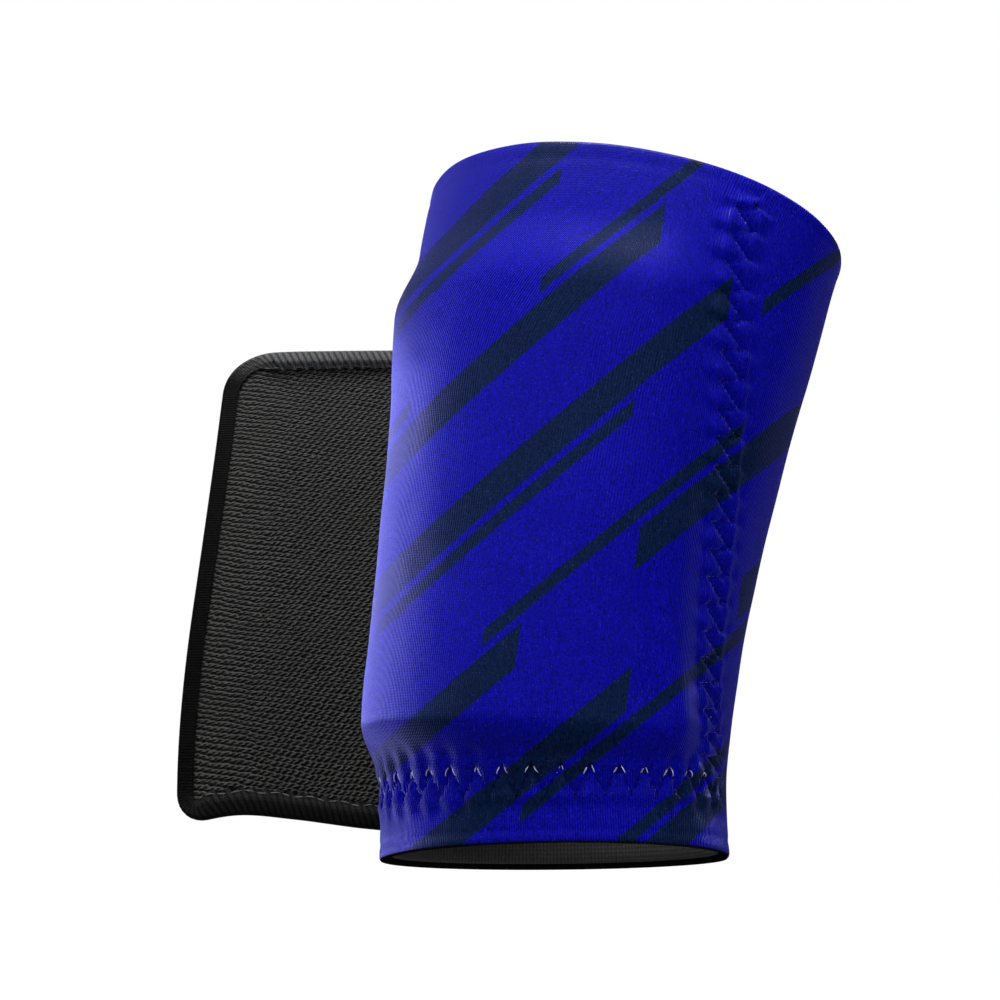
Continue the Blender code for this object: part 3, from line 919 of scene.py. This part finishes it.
def knit_group():
    """Jersey knit: columns of V-shaped loops on a flat map in metres."""
    group, given, made = start_group(
        "jersey_knit", {"Place": ZERO, "Wale": 0.0007, "Course": 0.0006}, ("Height", "Ribs"))
    drift = noise_on(group, given["Place"], 60.0, 2.0)["Fac"]
    split = split_place(group, given["Place"])
    across = calc(group, "DIVIDE", strayed(group, split["X"], drift, 1.2 * MM), given["Wale"])
    rows = calc(group, "DIVIDE", split["Y"], given["Course"])
    wale = calc(group, "ABSOLUTE", calc(group, "SINE", calc(group, "MULTIPLY", across, math.pi)))
    leg = calc(group, "MULTIPLY_ADD", wale, 0.55, rows)
    loop = calc(group, "SINE", calc(group, "MULTIPLY", leg, 2 * math.pi))
    loop = calc(group, "MULTIPLY_ADD", loop, 0.5, 0.5)
    height = calc(group, "MULTIPLY_ADD", loop, 0.35, calc(group, "MULTIPLY", wale, 0.65))
    group.links.new(height, made["Height"])
    group.links.new(wale, made["Ribs"])
    return group


def fuzz_group():
    """Unevenness of yarn and dye, each about 0.5: a soft large mottle, a fine grain and flecks."""
    sizes = {"Mottle": (45.0, 3.0), "Grain": (1900.0, 2.0), "Fleck": (2900.0, 1.0)}
    group, given, made = start_group("yarn_fuzz", {"Scale": 1.0}, sizes)
    place = node(group, "ShaderNodeTexCoord").outputs["Object"]
    for title, (scale, detail) in sizes.items():
        scale = calc(group, "MULTIPLY", given["Scale"], scale)
        group.links.new(noise_on(group, place, scale, detail)["Fac"], made[title])
    return group


def stripe_group():
    """Slanted broken stripes: a broad and a thin one in each repeat, with slanted cut ends."""
    group, given, made = start_group(
        "slanted_stripes", {"Place": ZERO, "Repeat": 0.0246, "Rise": math.radians(39)}, ("Mask",))
    split = split_place(group, given["Place"])
    sine = calc(group, "SINE", given["Rise"])
    cosine = calc(group, "COSINE", given["Rise"])
    along = calc(group, "ADD", calc(group, "MULTIPLY", split["X"], cosine),
                 calc(group, "MULTIPLY", split["Y"], sine))
    across = calc(group, "SUBTRACT", calc(group, "MULTIPLY", split["Y"], cosine),
                  calc(group, "MULTIPLY", split["X"], sine))
    rows = calc(group, "DIVIDE", calc(group, "ADD", across, 1.0), given["Repeat"])
    index = calc(group, "FLOOR", rows)
    share = calc(group, "FRACT", rows)
    odd = calc(group, "MODULO", index, 2.0)
    turned = calc(group, "MULTIPLY", odd, calc(group, "MULTIPLY_ADD", share, -2.0, 0.61))
    share = calc(group, "ADD", share, turned)
    slanted = calc(group, "SUBTRACT", along, calc(group, "MULTIPLY", across, 1.1))

    def band(low, high, seed, length, gap):
        inside = calc(group, "MULTIPLY", calc(group, "GREATER_THAN", share, low),
                      calc(group, "LESS_THAN", share, high))
        random = node(group, "ShaderNodeTexWhiteNoise", {"W": calc(group, "ADD", index, seed)},
                      noise_dimensions="1D")
        shift = calc(group, "MULTIPLY", random.outputs["Value"], length)
        place = calc(group, "ADD", calc(group, "ADD", slanted, 2.0), shift)
        place = calc(group, "FRACT", calc(group, "DIVIDE", place, length))
        return calc(group, "MULTIPLY", inside, calc(group, "GREATER_THAN", place, gap))

    broad = band(0.10, 0.35, 3.0, 0.128, 0.24)
    thin = band(0.41, 0.51, 11.0, 0.104, 0.34)
    group.links.new(calc(group, "MAXIMUM", broad, thin), made["Mask"])
    return group


def zigzag_group():
    """Masks of a zigzag seam on its own map of along and across: its creases and needle holes,
    which also carry painted shade, and a band of painted shade beside it.
    """
    group, given, made = start_group(
        "zigzag_creases", {"Place": ZERO, "Pitch": ZIGZAG_PITCH, "Half": ZIGZAG_HALF},
        ("Crease", "Hole", "PaintedSeamShade"))
    drift = two_drifts(group, node(group, "ShaderNodeTexCoord").outputs["Object"])
    split = split_place(group, given["Place"])
    run = strayed(group, split["X"], drift[0], 1.2 * MM)
    across = strayed(group, split["Y"], drift[1], 1.0 * MM)
    share = calc(group, "FRACT", calc(group, "DIVIDE", run, given["Pitch"]))
    wave = calc(group, "ABSOLUTE", calc(group, "SUBTRACT", share, 0.5))
    wave = calc(group, "MULTIPLY_ADD", wave, -4.0, 1.0)
    line = calc(group, "MULTIPLY", wave, given["Half"])
    off = calc(group, "ABSOLUTE", calc(group, "SUBTRACT", across, line))
    off = calc(group, "MULTIPLY", off, 0.75)
    half_pitch = calc(group, "MULTIPLY", given["Pitch"], 0.5)
    turns = calc(group, "DIVIDE", run, half_pitch)
    nearest = calc(group, "SUBTRACT", calc(group, "FRACT", calc(group, "ADD", turns, 0.5)), 0.5)
    sideways = calc(group, "MULTIPLY", nearest, half_pitch)
    reach = calc(group, "MULTIPLY", given["Half"], 1.12)
    peak = calc(group, "MULTIPLY", calc(group, "SIGN", wave), reach)
    upright = calc(group, "SUBTRACT", across, peak)
    gap = calc(group, "ADD", calc(group, "MULTIPLY", sideways, sideways),
               calc(group, "MULTIPLY", upright, upright))
    gap = calc(group, "SQRT", gap)
    wide = calc(group, "ABSOLUTE", across)
    group.links.new(eased(group, off, 0.0, 0.55 * MM, 1.0, 0.0), made["Crease"])
    group.links.new(eased(group, gap, 0.12 * MM, 0.40 * MM, 1.0, 0.0), made["Hole"])
    group.links.new(eased(group, wide, 2.5 * MM, 6.5 * MM, 1.0, 0.0), made["PaintedSeamShade"])
    return group


KNIT = knit_group()
FUZZ = fuzz_group()
STRIPES = stripe_group()
CREASES = zigzag_group()


def start_material(name, roughness, sheen=0.0, sheen_roughness=0.5, sheen_tint=WHITE, specular=0.3):
    """Material with the constants of its finish set on the shader itself."""
    material = bpy.data.materials.new(name)
    material.use_nodes = True
    tree = material.node_tree
    shader = tree.nodes["Principled BSDF"]
    shader.inputs["Roughness"].default_value = roughness
    shader.inputs["Sheen Weight"].default_value = sheen
    shader.inputs["Sheen Roughness"].default_value = sheen_roughness
    shader.inputs["Sheen Tint"].default_value = sheen_tint
    shader.inputs["Specular IOR Level"].default_value = specular
    return material, tree, shader


def use_group(tree, group, **inputs):
    return node(tree, "ShaderNodeGroup", inputs, node_tree=group).outputs


def bump(tree, shader, height, depth, strength):
    made = node(tree, "ShaderNodeBump", {"Height": height, "Distance": depth, "Strength": strength})
    tree.links.new(made.outputs["Normal"], shader.inputs["Normal"])


def brighten(tree, colour, value):
    return node(tree, "ShaderNodeHueSaturation", {"Color": colour, "Value": value}).outputs["Color"]


def flat_place(tree, title="knit"):
    """Place on one of the cloth's flat maps, in metres."""
    return node(tree, "ShaderNodeUVMap", uv_map=title).outputs["UV"]


def printed_knit():
    """Blue knit with navy stripes; the crests of its ribs are the glossy part."""
    material, tree, shader = start_material(
        "printed_blue_knit", 0.30, 1.0, sheen_roughness=0.23, sheen_tint=BLUE_SHEEN, specular=0.45)
    shader.inputs["Specular Tint"].default_value = (0.40, 0.42, 1.0, 1.0)
    knit = use_group(tree, KNIT, Place=flat_place(tree), Wale=KNIT_WALE, Course=KNIT_COURSE)
    fuzz = use_group(tree, FUZZ)
    seam = use_group(tree, CREASES, Place=flat_place(tree, "seam"))
    mask = use_group(tree, STRIPES, Place=flat_place(tree, "print"))["Mask"]
    # Painted shade: the colour is darker in the knit's loop valleys, along the zigzag creases, in
    # the needle holes and in a band beside the seams; mottle and grain are uneven dye.
    shade = calc(tree, "MULTIPLY_ADD", knit["Height"], 0.30, 0.80)
    for value, gain, base in (
            (fuzz["Mottle"], 0.20, 0.90), (fuzz["Grain"], 2.6, -0.30),
            (seam["Crease"], -0.22, 1.0), (seam["Hole"], -0.75, 1.0), (seam["PaintedSeamShade"], -0.06, 1.0)):
        shade = scaled(tree, shade, value, gain, base)
    colour = brighten(tree, blend_colours(tree, mask, BLUE, NAVY), shade)
    fleck = graded(tree, fuzz["Fleck"], 0.66, 0.78, 0.0, 0.14)
    tree.links.new(blend_colours(tree, fleck, colour, PALE_BLUE), shader.inputs["Base Color"])
    tree.links.new(graded(tree, knit["Ribs"], 0.78, 0.99, 1.0, 0.20), shader.inputs["Roughness"])
    relief = calc(tree, "MULTIPLY", knit["Height"], 0.3)
    for value, gain in (
            (knit["Ribs"], 0.8), (fuzz["Grain"], 0.4),
            (seam["Crease"], -1.3), (seam["Hole"], -1.5)):
        relief = calc(tree, "MULTIPLY_ADD", value, gain, relief)
    bump(tree, shader, relief, 0.13 * MM, 0.9)
    return material


def dark_knit(name, colour, roughness, depth=0.2 * MM, wale=0.9 * MM, sheen=0.06):
    material, tree, shader = start_material(name, roughness, sheen, 0.4, specular=0.1)
    knit = use_group(tree, KNIT, Place=flat_place(tree), Wale=wale, Course=wale)
    # Painted shade: the colour is darker between the knit's loops; the grain is uneven yarn.
    shade = calc(tree, "MULTIPLY_ADD", knit["Height"], 0.7, 0.55)
    shade = scaled(tree, shade, use_group(tree, FUZZ)["Grain"], 0.5, 0.75)
    tree.links.new(brighten(tree, (*colour, 1.0), shade), shader.inputs["Base Color"])
    bump(tree, shader, knit["Height"], depth, 0.8)
    return material


def elastic_cloth():
    """Ribbed elastic: rows of small bumps that rise to the right, and lie level at its free end."""
    material, tree, shader = start_material(
        "black_elastic_rib", 0.62, sheen=0.12, sheen_roughness=0.4, specular=0.12)
    place = flat_place(tree)
    split = split_place(tree, place)
    fuzz = use_group(tree, FUZZ)
    drift = two_drifts(tree, place)
    height = strayed(tree, split["Y"], fuzz["Mottle"], 3.0 * MM)
    height = strayed(tree, height, drift[0], 1.1 * MM)
    reach = strayed(tree, split["X"], drift[1], 0.9 * MM)

    def turned(ribs):
        rows = calc(tree, "MULTIPLY_ADD", reach, ribs[0], calc(tree, "MULTIPLY", height, ribs[1]))
        return calc(tree, "MULTIPLY", rows, 2 * math.pi)

    slanted = turned(SLANTED_RIBS)
    level = turned(LEVEL_RIBS)
    both = calc(tree, "ADD", slanted, level)
    between = calc(tree, "SUBTRACT", level, slanted)
    at_end = eased(tree, reach, 38 * MM, 60 * MM)
    waves = (
        (slanted, calc(tree, "MULTIPLY_ADD", at_end, -0.75, 1.0)),
        (level, calc(tree, "MULTIPLY_ADD", at_end, 0.75, 0.45)),
        (calc(tree, "ADD", both, 2.83), 0.62),
        (calc(tree, "MULTIPLY_ADD", level, 2.0, -1.29), 0.50),
        (calc(tree, "ADD", between, -0.93), 0.45),
    )
    relief = 0.0
    for turn, weight in waves:
        relief = calc(tree, "MULTIPLY_ADD", calc(tree, "COSINE", turn), weight, relief)
    # Painted light and shade: the colour follows the relief, lighter on the bumps and nearly black
    # in the gaps between them; the grain is uneven yarn.
    raised = graded(tree, relief, -1.2, 1.8, 0.0, 1.0)
    shade = calc(tree, "MULTIPLY_ADD", raised, 2.7, 0.02)
    shade = scaled(tree, shade, fuzz["Grain"], 1.3, 0.35)
    tree.links.new(brighten(tree, ELASTIC_BLACK, shade), shader.inputs["Base Color"])
    bump(tree, shader, raised, 0.5 * MM, 1.0)
    return material


def hem_cloth():
    """Folded hem: gathered along the top and smooth down the free end, with painted light that
    makes the top run light grey and painted shade that makes the bottom run dark and the free end
    nearly black.
    """
    material, tree, shader = start_material(
        "black_hem_cloth", 0.6, sheen=0.04, sheen_roughness=0.4, specular=0.05)
    place = flat_place(tree)
    split = split_place(tree, place)
    fuzz = use_group(tree, FUZZ)
    knit = use_group(tree, KNIT, Place=place, Wale=0.6 * MM, Course=0.6 * MM)
    run = split["X"]
    top_end = STRAP_REACH - BINDING_START
    low_start = top_end + STRAP_HEIGHT - 16 * MM
    top = eased(tree, run, top_end - 10 * MM, top_end + 4 * MM, 1.0, 0.0)
    low = eased(tree, run, low_start, low_start + 12 * MM)
    slant = calc(tree, "SUBTRACT", run, calc(tree, "MULTIPLY", split["Y"], GATHER_SLANT))
    fold = calc(tree, "SINE", calc(tree, "MULTIPLY", slant, math.pi / GATHER_PITCH))
    fold = calc(tree, "ABSOLUTE", fold)
    gathered = calc(tree, "MAXIMUM", top, low)
    # Painted light and shade: light grey along the top run, dark along the bottom run, nearly black
    # down the free end.
    level = calc(tree, "MULTIPLY_ADD", top, 0.088, 0.0022)
    level = calc(tree, "MULTIPLY_ADD", low, 0.008, level)
    # Painted shade in the valleys between the gathers' folds; the grain is uneven yarn.
    shade = calc(tree, "MULTIPLY", calc(tree, "SUBTRACT", fold, 1.0),
                 calc(tree, "MULTIPLY", gathered, 0.80))
    shade = scaled(tree, calc(tree, "ADD", shade, 1.0), fuzz["Grain"], 1.0, 0.5)
    level = calc(tree, "MULTIPLY", level, shade)
    grey = node(tree, "ShaderNodeCombineColor", {0: level, 1: level, 2: level})
    tree.links.new(grey.outputs[0], shader.inputs["Base Color"])
    relief = calc(tree, "MULTIPLY_ADD", calc(tree, "MULTIPLY", fold, gathered), 1.2, knit["Height"])
    bump(tree, shader, relief, 0.16 * MM, 0.8)
    return material


def plain_yarn(name, colour, sheen=0.0, specular=0.2):
    material, tree, shader = start_material(name, 0.55, sheen, specular=specular)
    grain = use_group(tree, FUZZ)["Grain"]
    shade = calc(tree, "MULTIPLY_ADD", grain, 0.7, 0.65)
    tree.links.new(brighten(tree, (*colour, 1.0), shade), shader.inputs["Base Color"])
    bump(tree, shader, grain, 0.1 * MM, 0.6)
    return material


def foam_skin():
    material, tree, shader = start_material("pad_foam", 0.8, specular=0.2)
    place = node(tree, "ShaderNodeTexCoord").outputs["Object"]
    cells = node(tree, "ShaderNodeTexVoronoi", {"Vector": place, "Scale": 900.0})
    cells = cells.outputs["Distance"]
    shade = calc(tree, "MULTIPLY_ADD", cells, 0.5, 0.7)
    tree.links.new(brighten(tree, FOAM_GREY, shade), shader.inputs["Base Color"])
    bump(tree, shader, cells, 0.2 * MM, 0.7)
    return material


def dress(piece, material):
    piece.data.materials.clear()
    piece.data.materials.append(material)


# ---- light, floor and camera ----

VIEW_AZIMUTH = math.radians(30)
VIEW_PITCH = math.radians(6.22)
VIEW_DISTANCE = 0.556
VIEW_LENS = 93.46
FLOOR_HEIGHT = -0.16
AMBIENT = 0.24
MIDDLE = Vector((0.0, 0.01, 0.075))
RAISE = Vector((0.0, 0.0, 1.0))


def make_camera():
    right = Vector((math.cos(VIEW_AZIMUTH), math.sin(VIEW_AZIMUTH), 0.0))
    ahead = Vector((-math.sin(VIEW_AZIMUTH) * math.cos(VIEW_PITCH),
                    math.cos(VIEW_AZIMUTH) * math.cos(VIEW_PITCH), math.sin(VIEW_PITCH)))
    up = right.cross(ahead)
    aim = Vector((0.0, 0.0, 0.070)) - right * 0.0112 + up * 0.00664
    data = bpy.data.cameras.new("camera")
    data.lens = VIEW_LENS
    data.sensor_width = 36.0
    data.clip_start = 0.01
    camera = bpy.data.objects.new("camera", data)
    camera.location = aim - ahead * VIEW_DISTANCE
    camera.rotation_euler = Matrix((right, up, -ahead)).transposed().to_euler()
    bpy.context.scene.collection.objects.link(camera)
    bpy.context.scene.camera = camera
    return right, ahead, up


def make_light(name, place, width, height, power, glossy=False):
    data = bpy.data.lights.new(name, "AREA")
    data.shape = "RECTANGLE"
    data.size = width
    data.size_y = height
    data.energy = power
    lamp = bpy.data.objects.new(name, data)
    lamp.location = place
    lamp.visible_glossy = glossy
    lamp.rotation_euler = (MIDDLE - place).to_track_quat("-Z", "Y").to_euler()
    bpy.context.scene.collection.objects.link(lamp)


def make_floor():
    clear_selection()
    bpy.ops.mesh.primitive_plane_add(size=14.0, location=(0.0, 0.0, FLOOR_HEIGHT))
    floor = bpy.context.object
    floor.name = "pale_floor"
    bpy.ops.object.transform_apply(location=True)
    material, tree, shader = start_material("pale_floor", 0.9, specular=0.1)
    shader.inputs["Base Color"].default_value = (0.12, 0.12, 0.12, 1.0)
    shader.inputs["Emission Color"].default_value = WHITE
    seen = node(tree, "ShaderNodeLightPath").outputs["Is Camera Ray"]
    tree.links.new(seen, shader.inputs["Emission Strength"])
    floor.visible_glossy = False
    dress(floor, material)


def make_world():
    world = bpy.data.worlds.new("studio")
    bpy.context.scene.world = world
    world.use_nodes = True
    tree = world.node_tree
    background = tree.nodes["Background"]
    background.inputs["Color"].default_value = WHITE
    path = node(tree, "ShaderNodeLightPath").outputs
    toward = node(tree, "ShaderNodeTexCoord").outputs["Generated"]
    brightest = (UP * 0.55 - RIGHT * 0.65 - AHEAD * 0.50).normalized()
    product = node(tree, "ShaderNodeVectorMath", {0: toward, 1: brightest}, operation="DOT_PRODUCT")
    soft = graded(tree, product.outputs["Value"], -0.3, 1.0, 0.08 * AMBIENT, AMBIENT)
    strength = calc(tree, "MULTIPLY_ADD", path["Is Diffuse Ray"], soft, path["Is Camera Ray"])
    tree.links.new(strength, background.inputs["Strength"])


bpy.context.scene.view_settings.view_transform = "Standard"
RIGHT, AHEAD, UP = make_camera()
make_world()
make_floor()
make_light("key", MIDDLE - AHEAD * 0.66 - RIGHT * 0.42 + RAISE * 0.62, 0.5, 0.5, 5.6)
make_light("gloss", MIDDLE - AHEAD * 0.10 + RAISE * 0.90 - RIGHT * 0.12, 0.40, 0.12, 11.0,
           glossy=True)
make_light("left", MIDDLE - RIGHT * 0.68 + AHEAD * 0.60 + UP * 0.12, 0.6, 0.6, 11.0)
make_light("fill", MIDDLE - AHEAD * 0.55 + RIGHT * 0.75 + RAISE * 0.25, 0.6, 0.6, 4.8)
make_light("back", MIDDLE + AHEAD * 0.90 + RAISE * 0.40, 0.6, 0.6, 5.0)

SLEEVE = make_sleeve()
LINING = make_lining()
STRAP = make_strap()
PATCH = make_hook_patch()
BINDING = make_binding()
SEAM_THREADS = make_seam_threads()
WHITE_THREADS = make_white_stitches()
HEM_THREADS = make_hem_stitches()

dress(LINING, dark_knit("black_lining_knit", (0.085, 0.085, 0.085), 0.75))
dress(STRAP, elastic_cloth())
dress(PATCH, dark_knit("black_hook_pile", (0.008, 0.008, 0.008), 0.6, 0.4 * MM, 1.3 * MM))
dress(BINDING, hem_cloth())
dress(SEAM_THREADS, plain_yarn("blue_thread", (0.0015, 0.0015, 0.20), specular=0.05))
dress(WHITE_THREADS, plain_yarn("white_thread", (0.50, 0.52, 0.78), specular=0.1))
dress(HEM_THREADS, plain_yarn("grey_thread", (0.10, 0.10, 0.11), sheen=0.1))
dress(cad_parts["guard_pad"], foam_skin())
